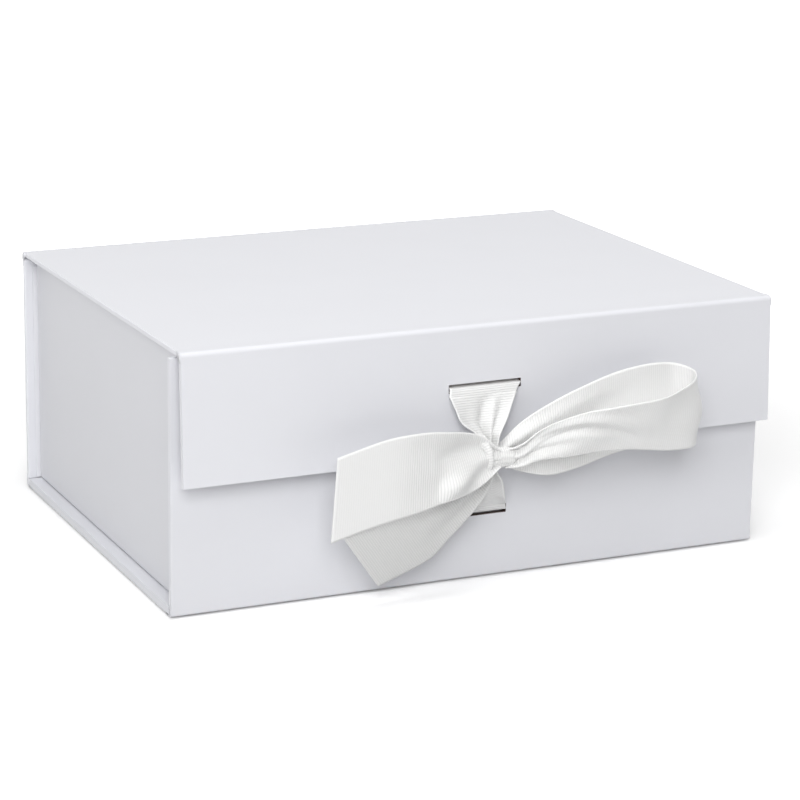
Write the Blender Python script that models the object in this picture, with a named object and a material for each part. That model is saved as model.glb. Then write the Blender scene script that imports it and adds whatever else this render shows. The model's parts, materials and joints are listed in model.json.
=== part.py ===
"""Collapsible gift box of wrapped board, closed and tied with a ribbon bow.

A case of five hinged panels (front wall, base, back wall, lid and flap) wraps
round a tray. The tray's two side walls stand on the base, a little inside the
case's ends, and fold inwards about their feet. A card tab hinged to each end of
a side wall lies against the front or the back wall, held by a strip of adhesive
tape, and folds flat against the side wall as that wall goes down. The flap
hangs from the lid in front of the front wall. Two magnets behind the flap's
inner paper meet two in the front wall. One ribbon comes out of a slot in the
flap and another out of a slot in the front wall, and a bow with one loop and
two tails ties them.

Frame: origin at the middle of the base's underside, +X to the right along the
front, +Y to the back, +Z up. Metres.
"""

import math

import bmesh
import bpy
from mathutils import Matrix, Vector

# Case
CASE_WIDTH = 0.220
CASE_DEPTH = 0.158
CASE_HEIGHT = 0.090
BOARD = 0.0020
BASE_BOARD = 0.0030
FLAP_HEIGHT = 0.0445
EDGE_ROUNDING = 0.0004
SHARP_ANGLE = math.radians(50)

# How the closed lid sits on the case
LID_REAR_OVERHANG = 0.0008
FLAP_GAP = 0.0020
LID_SKEW = math.radians(0.65)
FLAP_LEAN = math.radians(2.7)

# Paper creases between the panels
CREASE_PAPER = 0.0005
CREASE_RADIUS = 0.0012
CREASE_SEGMENTS = 5

# Inner papers
LINER = 0.0003
LINER_INSET = 0.0030
FLOOR_CARD = 0.0005

# Side walls of the tray
SIDE_BOARD = 0.0020
SIDE_RECESS = 0.0045

# Corner tabs and their adhesive tape
TAB_CARD = 0.0008
TAB_LENGTH = 0.0280
TAB_FOOT = 0.0040
TAB_TOP_MARGIN = 0.0030
TAB_TOP_DROP = 0.0080
TAPE = 0.0002
TAPE_WIDTH = 0.0120
TAPE_LENGTH = 0.0400

# Magnets
MAGNET_DIAMETER = 0.0100
MAGNET_THICKNESS = 0.0010
MAGNET_SPACING = 0.1300
MAGNET_EDGE = 0.0115
MAGNET_SIDES = 24

# Ribbon slots
SLOT_LENGTH = 0.0270
SLOT_HEIGHT = 0.0030
SLOT_OFFSET = -0.0020
FLAP_SLOT_DROP = 0.0211
WALL_SLOT_HEIGHT = 0.0234

# Ribbon
RIBBON_WIDTH = 0.0290
RIBBON_THICKNESS = 0.0004
RIBBON_GLUED_LENGTH = 0.0150
RIBBON_BEND = 0.0010
RIBBON_FOLD = 0.0008
RIBBON_FOLDS = 2
RIBBON_STRIPS = 8
BEND_STEPS = 5
STRAND_STEPS = 14
STRAND_THROAT = 0.70

# Bow
KNOT_DROP = 0.0443
KNOT_OFFSET = -0.0010
KNOT_STAND_OFF = 0.0060
KNOT_HALF_WIDTH = 0.0070
KNOT_HALF_DEPTH = 0.0050
KNOT_HALF_HEIGHT = 0.0058
KNOT_GATHER = 0.22
KNOT_ENTRY = -0.0020
KNOT_SIDES = 20
KNOT_RINGS = 12
KNOT_GROOVE = 0.0007
KNOT_GROOVE_SHARE = 0.25

# Rows along the bow's ribbons. Each gives how far right of the knot's middle,
# above it and out from it the ribbon's middle is, how far its width is turned
# from upright to the left and leans out, in degrees, and the share of its full
# width that it spreads over.
LOOP_ROWS = (
    (0.0010, 0.0005, 0.0000, 0, 0, KNOT_GATHER),
    (0.0088, 0.0027, 0.0025, 5, 3, 0.60),
    (0.0195, 0.0047, 0.0028, 0, 3, 0.88),
    (0.0302, 0.0075, 0.0030, 0, 4, 0.98),
    (0.0440, 0.0112, 0.0030, 0, 4, 1.00),
    (0.0570, 0.0129, 0.0035, 3, 4, 1.00),
    (0.0672, 0.0129, 0.0042, 8, 3, 0.97),
    (0.0720, 0.0119, 0.0085, 10, 8, 0.93),
    (0.0680, 0.0112, 0.0150, 12, 17, 0.94),
    (0.0589, 0.0104, 0.0182, 8, 27, 0.94),
    (0.0498, 0.0104, 0.0202, 7, 36, 0.92),
    (0.0405, 0.0106, 0.0202, 9, 38, 0.86),
    (0.0302, 0.0101, 0.0185, 5, 37, 0.78),
    (0.0214, 0.0085, 0.0145, -3, 24, 0.60),
    (0.0130, 0.0052, 0.0083, 0, 13, 0.40),
    (0.0070, 0.0012, 0.0050, 0, 5, 0.27),
    (0.0020, 0.0000, 0.0030, 0, 0, KNOT_GATHER),
)
FRONT_TAIL_ROWS = (
    (-0.0010, 0.0000, 0.0015, 0, 0, KNOT_GATHER),
    (-0.0070, 0.0005, 0.0040, 0, -8, 0.45),
    (-0.0130, 0.0009, 0.0065, 0, -5, 0.68),
    (-0.0215, 0.0009, 0.0080, 0, -3, 0.80),
    (-0.0315, 0.0002, 0.0090, 0, -2, 0.93),
    (-0.0460, -0.0016, 0.0095, -2, -2, 1.00),
    (-0.0632, -0.0056, 0.0095, -3, -2, 1.00),
)
REAR_TAIL_ROWS = (
    (-0.0010, -0.0010, -0.0015, 15, 0, KNOT_GATHER),
    (-0.0072, -0.0060, 0.0005, 33, 0, 0.40),
    (-0.0155, -0.0110, 0.0018, 35, 0, 0.66),
    (-0.0245, -0.0145, 0.0030, 34, 0, 0.86),
    (-0.0350, -0.0195, 0.0042, 33, 0, 0.97),
    (-0.0545, -0.0256, 0.0055, 33, 0, 1.00),
)
ROW_STEPS = 3

# Clearances
FIT = 0.0003
PAPER_FIT = 0.0002
MAGNET_FIT = 0.0003
RIBBON_FIT = 0.0003
LINER_SLOT_FIT = 0.0002

# Sizes that follow from the ones above
SETBACK = BOARD + FIT
CREASE_LEG = SETBACK - FIT
FRONT_FACE = -CASE_DEPTH / 2
BACK_FACE = CASE_DEPTH / 2
FRONT_INNER = FRONT_FACE + BOARD
BACK_INNER = BACK_FACE - BOARD
LINER_STACK = PAPER_FIT + LINER
MAGNET_DROP = FLAP_HEIGHT - MAGNET_EDGE
TRAY_TOP = CASE_HEIGHT - BOARD - LINER_STACK - FIT
LID_DEPTH = LID_REAR_OVERHANG + CASE_DEPTH + FLAP_GAP + BOARD
TAB_STACK = FIT + TAB_CARD + PAPER_FIT + TAPE
FLOOR_TOP = BASE_BOARD + PAPER_FIT + FLOOR_CARD
WALL_AXIS_Z = FLOOR_TOP + FIT + TAB_STACK
SIDE_OUTER = CASE_WIDTH / 2 - SIDE_RECESS
SIDE_INNER = SIDE_OUTER - SIDE_BOARD
SIDE_HALF_LENGTH = CASE_DEPTH / 2 - BOARD - LINER_STACK - FIT
TAB_AXIS_Y = CASE_DEPTH / 2 - BOARD - LINER_STACK - PAPER_FIT - TAB_STACK


def clear_scene():
    """Start from an empty scene."""
    for item in list(bpy.data.objects):
        bpy.data.objects.remove(item, do_unlink=True)


def make_material(name, colour, roughness, metallic=0.0):
    """One plain material for one piece."""
    material = bpy.data.materials.new(name)
    material.use_nodes = True
    shader = material.node_tree.nodes["Principled BSDF"]
    shader.inputs["Base Color"].default_value = (*colour, 1.0)
    shader.inputs["Roughness"].default_value = roughness
    shader.inputs["Metallic"].default_value = metallic
    return material


def make_empty(name, location=(0, 0, 0), rotation=(0, 0, 0), parent=None):
    """An empty that carries the pieces of one moving body."""
    empty = bpy.data.objects.new(name, None)
    empty.empty_display_size = 0.01
    empty.location = location
    empty.rotation_euler = rotation
    empty.parent = parent
    bpy.context.collection.objects.link(empty)
    return empty


def add_object(name, shape, parent=None, location=(0, 0, 0), rotation=(0, 0, 0)):
    """An object from a bmesh, which this frees."""
    bmesh.ops.recalc_face_normals(shape, faces=shape.faces[:])
    if shape.calc_volume(signed=True) < 0:
        bmesh.ops.reverse_faces(shape, faces=shape.faces[:])
    mesh = bpy.data.meshes.new(name)
    shape.to_mesh(mesh)
    shape.free()
    piece = bpy.data.objects.new(name, mesh)
    piece.location = location
    piece.rotation_euler = rotation
    piece.parent = parent
    bpy.context.collection.objects.link(piece)
    return piece


def paint(piece, colour, roughness, metallic=0.0):
    """Give a piece its own material, named after it."""
    piece.data.materials.append(make_material(piece.name, colour, roughness, metallic))
    return piece


def wrap_paper(piece):
    """White paper with a slight sheen, over the boards and creases."""
    return paint(piece, (0.86, 0.86, 0.885), roughness=0.42)


def inner_paper(piece):
    """Plain white paper on the inner faces."""
    return paint(piece, (0.84, 0.84, 0.86), roughness=0.6)


def tab_card(piece):
    """White card of the corner tabs."""
    return paint(piece, (0.82, 0.82, 0.84), roughness=0.6)


def adhesive_film(piece):
    """Yellowish film of the adhesive tape."""
    return paint(piece, (0.78, 0.76, 0.68), roughness=0.3)


def magnet_steel(piece):
    """Plated steel."""
    return paint(piece, (0.55, 0.55, 0.56), roughness=0.35, metallic=1.0)


def ribbon_cloth(piece):
    """Warm white woven ribbon."""
    return paint(piece, (0.92, 0.92, 0.90), roughness=0.5)


def box_shape(low, high):
    """A box between two corners."""
    shape = bmesh.new()
    bmesh.ops.create_cube(shape, size=1.0)
    size = [b - a for a, b in zip(low, high)]
    middle = [(a + b) / 2 for a, b in zip(low, high)]
    place = Matrix.Translation(middle) @ Matrix.Diagonal((*size, 1.0))
    bmesh.ops.transform(shape, matrix=place, verts=shape.verts[:])
    return shape


def outline_shape(outline, low, high, place):
    """A flat outline carried from low to high; place turns (a, b, height) into a point."""
    shape = bmesh.new()
    rings = []
    for height in (low, high):
        rings.append([shape.verts.new(place(a, b, height)) for a, b in outline])
    shape.faces.new(rings[0])
    shape.faces.new(rings[1])
    count = len(outline)
    for i in range(count):
        j = (i + 1) % count
        shape.faces.new((rings[0][i], rings[0][j], rings[1][j], rings[1][i]))
    return shape


def disc_shape(radius, low, high):
    """A round disc about the Y axis, from y = low to y = high."""
    step = 2 * math.pi / MAGNET_SIDES
    outline = [
        (radius * math.cos(i * step), radius * math.sin(i * step))
        for i in range(MAGNET_SIDES)
    ]
    return outline_shape(outline, low, high, lambda a, b, h: Vector((a, h, b)))


def round_edges(piece, width=EDGE_ROUNDING):
    """Soften the folded paper edges of a panel."""
    bevel = piece.modifiers.new("paper_edge", "BEVEL")
    bevel.width = width
    bevel.segments = 1
    bevel.limit_method = "ANGLE"
    bevel.angle_limit = SHARP_ANGLE


def cut(piece, cutter):
    """Cut one object out of another, and keep the cutter as a hidden guide."""
    cutter.hide_render = True
    cutter.display_type = "WIRE"
    boolean = piece.modifiers.new(cutter.name, "BOOLEAN")
    boolean.operation = "DIFFERENCE"
    boolean.solver = "EXACT"
    boolean.object = cutter


def cut_slot(piece, x, z, length, height, low, high):
    """Cut a ribbon slot through a panel that stands across Y."""
    shape = box_shape(
        (x - length / 2, low - BOARD, z - height / 2),
        (x + length / 2, high + BOARD, z + height / 2),
    )
    cut(piece, add_object(piece.name + ".slot_guide", shape, piece.parent))


def cut_magnet_pocket(piece, x, z, inner_face):
    """Cut a round pocket from a panel's inner face, which is at y = inner_face."""
    depth = MAGNET_THICKNESS + MAGNET_FIT
    radius = MAGNET_DIAMETER / 2 + MAGNET_FIT
    shape = disc_shape(radius, inner_face - depth, inner_face + BOARD)
    guide = add_object(piece.name + ".magnet_guide", shape, piece.parent, (x, 0, z))
    cut(piece, guide)


def panel(name, low, high, parent=None):
    """One wrapped board of the case."""
    return wrap_paper(add_object(name, box_shape(low, high), parent))


def crease_shape(across, up):
    """The paper round an outer corner along X; across and up point from it to the boards."""
    turn = [
        math.pi / 2 * i / CREASE_SEGMENTS for i in range(CREASE_SEGMENTS + 1)
    ]
    inner_radius = CREASE_RADIUS - CREASE_PAPER
    outer = [(CREASE_LEG, 0.0)]
    outer += [
        (CREASE_RADIUS * (1 - math.sin(a)), CREASE_RADIUS * (1 - math.cos(a)))
        for a in turn
    ]
    outer += [(0.0, CREASE_LEG)]
    inner = [(CREASE_PAPER, CREASE_LEG)]
    inner += [
        (
            CREASE_RADIUS - inner_radius * math.cos(a),
            CREASE_RADIUS - inner_radius * math.sin(a),
        )
        for a in turn
    ]
    inner += [(CREASE_LEG, CREASE_PAPER)]
    return outline_shape(
        outer + inner,
        -CASE_WIDTH / 2,
        CASE_WIDTH / 2,
        lambda a, b, x: Vector((x, across * a, up * b)),
    )


def crease(name, across, up, location, rotation=(0, 0, 0), parent=None):
    """One paper crease, as the bend that it has with the box closed."""
    piece = add_object(name, crease_shape(across, up), parent, location, rotation)
    return wrap_paper(piece)


def liner(name, low, high, parent=None):
    """One sheet of inner paper."""
    return inner_paper(add_object(name, box_shape(low, high), parent))


def magnet(name, x, z, inner_face, parent=None):
    """One disc magnet, in the pocket of a panel whose inner face is at inner_face."""
    low = inner_face - MAGNET_THICKNESS - MAGNET_FIT / 2
    shape = disc_shape(MAGNET_DIAMETER / 2, low, low + MAGNET_THICKNESS)
    return magnet_steel(add_object(name, shape, parent, (x, 0, z)))


def make_case():
    """The fixed panels: base, back wall and front wall, with their creases and papers."""
    half = CASE_WIDTH / 2
    panel(
        "base_panel",
        (-half, FRONT_FACE + SETBACK + FIT, 0.0),
        (half, BACK_FACE - SETBACK - FIT, BASE_BOARD),
    )
    back = panel(
        "back_panel",
        (-half, BACK_INNER, SETBACK + FIT),
        (half, BACK_FACE, CASE_HEIGHT - SETBACK - FIT),
    )
    round_edges(back)
    front = panel(
        "front_panel",
        (-half, FRONT_FACE, SETBACK + FIT),
        (half, FRONT_INNER, TRAY_TOP),
    )
    cut_slot(
        front,
        SLOT_OFFSET,
        WALL_SLOT_HEIGHT,
        SLOT_LENGTH,
        SLOT_HEIGHT,
        FRONT_FACE,
        FRONT_INNER,
    )
    magnet_z = CASE_HEIGHT - MAGNET_DROP
    for side, x in (("left", -MAGNET_SPACING / 2), ("right", MAGNET_SPACING / 2)):
        cut_magnet_pocket(front, x, magnet_z, FRONT_INNER)
        magnet("front_magnet_" + side, x, magnet_z, FRONT_INNER)
    crease("base_front_crease", 1, 1, (0, FRONT_FACE, 0))
    crease("base_rear_crease", -1, 1, (0, BACK_FACE, 0))
    liner(
        "floor_card",
        (-SIDE_INNER + FIT, -SIDE_HALF_LENGTH, FLOOR_TOP - FLOOR_CARD),
        (SIDE_INNER - FIT, SIDE_HALF_LENGTH, FLOOR_TOP),
    )
    front_paper = liner(
        "front_wall_liner",
        (-half + LINER_INSET, FRONT_INNER + PAPER_FIT, BASE_BOARD + FIT),
        (half - LINER_INSET, FRONT_INNER + LINER_STACK, TRAY_TOP - LINER_INSET),
    )
    cut_slot(
        front_paper,
        SLOT_OFFSET,
        WALL_SLOT_HEIGHT,
        SLOT_LENGTH + 2 * LINER_SLOT_FIT,
        SLOT_HEIGHT + 2 * LINER_SLOT_FIT,
        FRONT_INNER,
        FRONT_INNER + LINER_STACK,
    )
    liner(
        "back_wall_liner",
        (-half + LINER_INSET, BACK_INNER - LINER_STACK, BASE_BOARD + FIT),
        (half - LINER_INSET, BACK_INNER - PAPER_FIT, TRAY_TOP - LINER_INSET),
    )


def make_lid(lid_hinge):
    """The lid panel, its inner paper and the creases at its rear and front edges."""
    half = CASE_WIDTH / 2
    crease(
        "lid_rear_crease",
        -1,
        -1,
        lid_hinge.location,
        lid_hinge.rotation_euler,
    )
    lid = panel(
        "lid_panel",
        (-half, -LID_DEPTH + SETBACK, -BOARD),
        (half, -SETBACK, 0.0),
        lid_hinge,
    )
    round_edges(lid)
    liner(
        "lid_liner",
        (-half + LINER_INSET, -LID_DEPTH + SETBACK + LINER_INSET, -BOARD - LINER_STACK),
        (half - LINER_INSET, -SETBACK - LINER_INSET, -BOARD - PAPER_FIT),
        lid_hinge,
    )
    crease("lid_front_crease", 1, -1, (0, -LID_DEPTH, 0), (0, 0, 0), lid_hinge)


def make_flap(flap_hinge):
    """The flap with its slot, inner paper and magnets."""
    half = CASE_WIDTH / 2
    flap = panel(
        "flap_panel",
        (-half, 0.0, -FLAP_HEIGHT),
        (half, BOARD, -SETBACK),
        flap_hinge,
    )
    cut_slot(
        flap, SLOT_OFFSET, -FLAP_SLOT_DROP, SLOT_LENGTH, SLOT_HEIGHT, 0.0, BOARD
    )
    for side, x in (("left", -MAGNET_SPACING / 2), ("right", MAGNET_SPACING / 2)):
        cut_magnet_pocket(flap, x, -MAGNET_DROP, BOARD)
        magnet("flap_magnet_" + side, x, -MAGNET_DROP, BOARD, flap_hinge)
    paper = liner(
        "flap_liner",
        (-half + LINER_INSET, BOARD + PAPER_FIT, -FLAP_HEIGHT + LINER_INSET),
        (half - LINER_INSET, BOARD + LINER_STACK, -SETBACK - LINER_INSET),
        flap_hinge,
    )
    cut_slot(
        paper,
        SLOT_OFFSET,
        -FLAP_SLOT_DROP,
        SLOT_LENGTH + 2 * LINER_SLOT_FIT,
        SLOT_HEIGHT + 2 * LINER_SLOT_FIT,
        BOARD,
        BOARD + LINER_STACK,
    )


def tab_shape(inward, end):
    """A corner tab about its own axis; inward and end are the signs of X and Y.

    Its lower edge rises at 45 degrees, so it stays above the floor card while
    it turns through the same angle as the side wall that carries it.
    """
    foot = WALL_AXIS_Z + TAB_FOOT
    top = TRAY_TOP - TAB_TOP_MARGIN
    outline = [
        (FIT, foot),
        (TAB_LENGTH, foot + TAB_LENGTH),
        (TAB_LENGTH, top - TAB_TOP_DROP),
        (FIT, top),
    ]
    near = FIT
    far = FIT + TAB_CARD
    return outline_shape(
        outline, near, far, lambda a, b, h: Vector((inward * a, end * h, b))
    )


def tape_shape(inward, end):
    """The adhesive strip on a corner tab, upright on its outer face."""
    middle = (TRAY_TOP + WALL_AXIS_Z) / 2
    reach = (TAB_LENGTH - TAPE_WIDTH) / 2
    near = FIT + TAB_CARD + PAPER_FIT
    xs = sorted((inward * reach, inward * (reach + TAPE_WIDTH)))
    ys = sorted((end * near, end * (near + TAPE)))
    return box_shape(
        (xs[0], ys[0], middle - TAPE_LENGTH / 2),
        (xs[1], ys[1], middle + TAPE_LENGTH / 2),
    )


def make_side_wall(side, sign):
    """A side wall on its hinge, with a tab and a strip of tape at each end."""
    hinge = make_empty(side + "_wall_hinge", (sign * SIDE_INNER, 0, WALL_AXIS_Z))
    xs = sorted((0.0, sign * SIDE_BOARD))
    foot = BASE_BOARD + FIT - WALL_AXIS_Z
    shape = box_shape(
        (xs[0], -SIDE_HALF_LENGTH, foot),
        (xs[1], SIDE_HALF_LENGTH, TRAY_TOP - WALL_AXIS_Z),
    )
    wall = add_object(side + "_side_wall", shape, hinge)
    round_edges(wall)
    wrap_paper(wall)
    for end, end_sign in (("front", -1), ("rear", 1)):
        name = side + "_" + end
        tab_hinge = make_empty(
            name + "_tab_hinge",
            (0, end_sign * TAB_AXIS_Y, -WALL_AXIS_Z),
            (0, 0, 0),
            hinge,
        )
        tab = add_object(name + "_corner_tab", tab_shape(-sign, end_sign), tab_hinge)
        tab_card(tab)
        tape = add_object(name + "_adhesive", tape_shape(-sign, end_sign), tab_hinge)
        adhesive_film(tape)


def spline(rows, t):
    """A point on the smooth curve that passes through every row; t counts the rows."""
    span = min(int(t), len(rows) - 2)
    t -= span
    a = rows[max(span - 1, 0)]
    b = rows[span]
    c = rows[span + 1]
    d = rows[min(span + 2, len(rows) - 1)]
    point = b * 2 + (c - a) * t
    point += (a * 2 - b * 5 + c * 4 - d) * t**2
    point += (b * 3 - a - c * 3 + d) * t**3
    return point / 2


def turn_corner(before, corner, after, radius):
    """Points along an arc that rounds the corner between two straight runs."""
    back = (before - corner).normalized()
    ahead = (after - corner).normalized()
    half = back.angle(ahead) / 2
    centre = corner + (back + ahead).normalized() * (radius / math.sin(half))
    start = (corner + back * (radius / math.tan(half)) - centre).normalized()
    end = (corner + ahead * (radius / math.tan(half)) - centre).normalized()
    steps = range(BEND_STEPS + 1)
    return [centre + start.slerp(end, i / BEND_STEPS) * radius for i in steps]


def ribbon_shape(middles, widths, shares):
    """A closed strip of ribbon.

    It takes the middle of the ribbon at each section, the direction of its
    width there and the share of its full width that it spreads over. What it
    loses in width goes into lengthwise folds.
    """
    shape = bmesh.new()
    front, back = [], []
    last = len(middles) - 1
    for i, middle in enumerate(middles):
        along = middles[min(i + 1, last)] - middles[max(i - 1, 0)]
        across = widths[i].normalized()
        normal = across.cross(along).normalized()
        fold = RIBBON_FOLD * (1.0 - shares[i]) / (1.0 - KNOT_GATHER)
        front_row, back_row = [], []
        for j in range(RIBBON_STRIPS + 1):
            s = j / RIBBON_STRIPS - 0.5
            wave = fold * math.cos(2 * math.pi * RIBBON_FOLDS * s)
            point = middle + across * (s * RIBBON_WIDTH * shares[i]) + normal * wave
            half = normal * (RIBBON_THICKNESS / 2)
            front_row.append(shape.verts.new(point + half))
            back_row.append(shape.verts.new(point - half))
        front.append(front_row)
        back.append(back_row)
    close_strip(shape, front, back)
    return shape


def close_strip(shape, front, back):
    """Join the two faces of a strip, its long edges and its ends into one closed body."""
    last = len(front[0]) - 1
    for i in range(len(front) - 1):
        for j in range(last):
            a, b = front[i], front[i + 1]
            shape.faces.new((a[j], b[j], b[j + 1], a[j + 1]))
            a, b = back[i], back[i + 1]
            shape.faces.new((a[j], a[j + 1], b[j + 1], b[j]))
        for j in (0, last):
            a, b = front[i][j], front[i + 1][j]
            c, d = back[i + 1][j], back[i][j]
            shape.faces.new((a, b, c, d))
    for i in (0, len(front) - 1):
        for j in range(last):
            a, b = front[i][j], front[i][j + 1]
            c, d = back[i][j + 1], back[i][j]
            shape.faces.new((a, b, c, d))


def ribbon(name, middles, widths, shares, parent=None):
    """One length of ribbon, smooth along its faces."""
    piece = add_object(name, ribbon_shape(middles, widths, shares), parent)
    piece.data.shade_smooth()
    piece.data.set_sharp_from_angle(angle=SHARP_ANGLE)
    return ribbon_cloth(piece)


def strand(name, slot_x, slot_z, outer, inner, glue_up, knot, parent=None):
    """A ribbon from its glued end behind a panel, out of the slot and to the knot.

    outer and inner are the Y of the panel's two sides, and glue_up is +1 where
    the glued end runs up from the slot and -1 where it runs down. It is
    gathered to a throat before it reaches the knot.
    """
    lie = RIBBON_THICKNESS / 2 + RIBBON_FIT
    rise = SLOT_HEIGHT / 2 - RIBBON_FIT
    glued_end = Vector((slot_x, inner + lie, slot_z + glue_up * RIBBON_GLUED_LENGTH))
    inside = Vector((slot_x, inner + lie, slot_z + glue_up * rise))
    outside = Vector((slot_x, outer - lie, slot_z - glue_up * rise))
    middles = [glued_end, glued_end.lerp(inside, 0.5)]
    middles += turn_corner(glued_end, inside, outside, RIBBON_BEND)
    middles += turn_corner(inside, outside, knot, RIBBON_BEND)
    in_slot = min(1.0, (SLOT_LENGTH - 2 * FIT) / RIBBON_WIDTH)
    shares = [in_slot] * len(middles)
    mouth = middles[-1]
    for i in range(1, STRAND_STEPS + 1):
        way = i / STRAND_STEPS
        gathered = min(way / STRAND_THROAT, 1.0)
        middles.append(mouth.lerp(knot, way))
        shares.append(in_slot + (KNOT_GATHER - in_slot) * gathered)
    widths = [Vector((1, 0, 0))] * len(middles)
    return ribbon(name, middles, widths, shares, parent)


def knot_shape(centre, grow):
    """The knot: a squat ball with a shallow groove round it, where two wraps meet."""
    shape = bmesh.new()
    bmesh.ops.create_uvsphere(
        shape, u_segments=KNOT_SIDES, v_segments=KNOT_RINGS, radius=1.0
    )
    for vertex in shape.verts:
        direction = vertex.co.copy()
        groove = KNOT_GROOVE * math.exp(-((direction.x / KNOT_GROOVE_SHARE) ** 2))
        half = Vector((KNOT_HALF_WIDTH, KNOT_HALF_DEPTH, KNOT_HALF_HEIGHT))
        for axis in range(3):
            reach = half[axis] - groove + grow
            vertex.co[axis] = centre[axis] + direction[axis] * reach
    return shape


def lean_direction(turn, lean):
    """A ribbon's width direction: turned from upright to the left, and leaning out."""
    turn = math.radians(turn)
    lean = math.radians(lean)
    return Vector(
        (
            -math.sin(turn) * math.cos(lean),
            -math.sin(lean),
            math.cos(turn) * math.cos(lean),
        )
    )


def bow_ribbon(name, rows, steps, centre, knot_guide, parent):
    """A length of the bow, through rows like those above, in a number of steps a row."""
    places = [centre + Vector((right, -out, up)) for right, up, out, *_ in rows]
    turns = [lean_direction(row[3], row[4]) for row in rows]
    spreads = [Vector((row[5], 0, 0)) for row in rows]
    ends = [i / steps for i in range(steps * (len(rows) - 1) + 1)]
    middles = [spline(places, t) for t in ends]
    widths = [spline(turns, t) for t in ends]
    shares = [min(spline(spreads, t).x, 1.0) for t in ends]
    piece = ribbon(name, middles, widths, shares, parent)
    cut(piece, knot_guide)
    return piece


def make_bow(flap_hinge):
    """The ribbon of the flap, the knot, the loop and the two tails, all on the flap."""
    centre = Vector((KNOT_OFFSET, -KNOT_STAND_OFF, -KNOT_DROP))
    knot = add_object("bow_knot", knot_shape(centre, 0.0), flap_hinge)
    knot.data.shade_smooth()
    ribbon_cloth(knot)
    guide = add_object("bow_knot.guide", knot_shape(centre, FIT), flap_hinge)
    upper = strand(
        "flap_ribbon",
        SLOT_OFFSET,
        -FLAP_SLOT_DROP,
        0.0,
        BOARD + LINER_STACK,
        1,
        centre + Vector((KNOT_ENTRY, 0, 0)),
        flap_hinge,
    )
    cut(upper, guide)
    bow_ribbon("bow_loop", LOOP_ROWS, ROW_STEPS, centre, guide, flap_hinge)
    bow_ribbon("bow_front_tail", FRONT_TAIL_ROWS, ROW_STEPS, centre, guide, flap_hinge)
    bow_ribbon("bow_rear_tail", REAR_TAIL_ROWS, ROW_STEPS, centre, guide, flap_hinge)
    return guide


def make_wall_ribbon(flap_hinge, knot_guide):
    """The ribbon of the front wall, from its slot up to the underside of the knot."""
    bpy.context.view_layer.update()
    local = Vector((KNOT_OFFSET, -KNOT_STAND_OFF, -KNOT_DROP))
    centre = flap_hinge.matrix_world @ local
    lower = strand(
        "wall_ribbon",
        SLOT_OFFSET,
        WALL_SLOT_HEIGHT,
        FRONT_FACE,
        FRONT_INNER + LINER_STACK,
        -1,
        centre + Vector((KNOT_ENTRY, 0, 0)),
    )
    cut(lower, knot_guide)


def main():
    clear_scene()
    make_case()
    lid_hinge = make_empty(
        "lid_hinge",
        (0, BACK_FACE + LID_REAR_OVERHANG, CASE_HEIGHT),
        (0, 0, LID_SKEW),
    )
    make_lid(lid_hinge)
    flap_hinge = make_empty(
        "flap_hinge", (0, -LID_DEPTH, 0), (-FLAP_LEAN, 0, 0), lid_hinge
    )
    make_flap(flap_hinge)
    for side, sign in (("left", -1), ("right", 1)):
        make_side_wall(side, sign)
    guide = make_bow(flap_hinge)
    make_wall_ribbon(flap_hinge, guide)


main()
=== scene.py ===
"""Looks of the collapsible gift box: wrapped boards, paper hinges and a grosgrain bow.

The panels, liners, tabs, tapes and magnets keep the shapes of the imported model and
get their finishes here. The crease papers, the two ribbon strands, the knot, the
loop and the tails are made here as finer pieces, which stand for the plain solids
of the model.
"""

import json
import math

import bmesh
import bpy
from bpy.props import FloatProperty, FloatVectorProperty, PointerProperty
from mathutils import Matrix, Vector

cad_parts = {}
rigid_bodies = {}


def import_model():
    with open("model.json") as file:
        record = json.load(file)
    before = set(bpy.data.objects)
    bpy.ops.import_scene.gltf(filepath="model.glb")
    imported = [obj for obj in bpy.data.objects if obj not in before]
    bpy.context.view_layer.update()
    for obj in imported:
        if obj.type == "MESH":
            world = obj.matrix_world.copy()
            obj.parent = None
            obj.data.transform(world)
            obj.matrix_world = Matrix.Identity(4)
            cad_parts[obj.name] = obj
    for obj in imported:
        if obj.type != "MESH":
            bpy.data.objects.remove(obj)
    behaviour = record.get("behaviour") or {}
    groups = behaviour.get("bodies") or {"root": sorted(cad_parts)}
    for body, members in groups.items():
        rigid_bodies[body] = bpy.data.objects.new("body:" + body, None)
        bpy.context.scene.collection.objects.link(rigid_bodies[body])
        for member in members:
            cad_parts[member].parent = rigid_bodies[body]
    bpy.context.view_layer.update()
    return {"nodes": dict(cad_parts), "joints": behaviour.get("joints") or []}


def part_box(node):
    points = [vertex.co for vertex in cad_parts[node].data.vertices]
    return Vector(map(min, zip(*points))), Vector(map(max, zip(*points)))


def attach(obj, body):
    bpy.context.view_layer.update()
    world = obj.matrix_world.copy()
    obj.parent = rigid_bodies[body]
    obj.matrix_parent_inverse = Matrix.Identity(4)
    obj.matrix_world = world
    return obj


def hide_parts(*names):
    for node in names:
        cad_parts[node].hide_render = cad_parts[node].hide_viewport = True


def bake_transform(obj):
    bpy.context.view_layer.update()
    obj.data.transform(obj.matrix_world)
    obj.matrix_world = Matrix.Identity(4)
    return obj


for leftover in list(bpy.data.objects):
    bpy.data.objects.remove(leftover)

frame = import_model()

bl_info = {
    "name": "Collapsible gift box",
    "version": (1, 0, 0),
    "blender": (4, 5, 0),
    "location": "3D View > Sidebar > Gift box",
    "description": "Paper, boards and ribbon of a collapsible gift box",
    "category": "Add Mesh",
}

MM = 0.001

# Boards and inner paper, the front wall's outer face and the flap's lean, in metres
# like every length that names no other unit
BOARD = 0.0020
LINER = 0.0005
WALL_FACE = -0.0790
FLAP_LEAN = math.radians(2.7)

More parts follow.
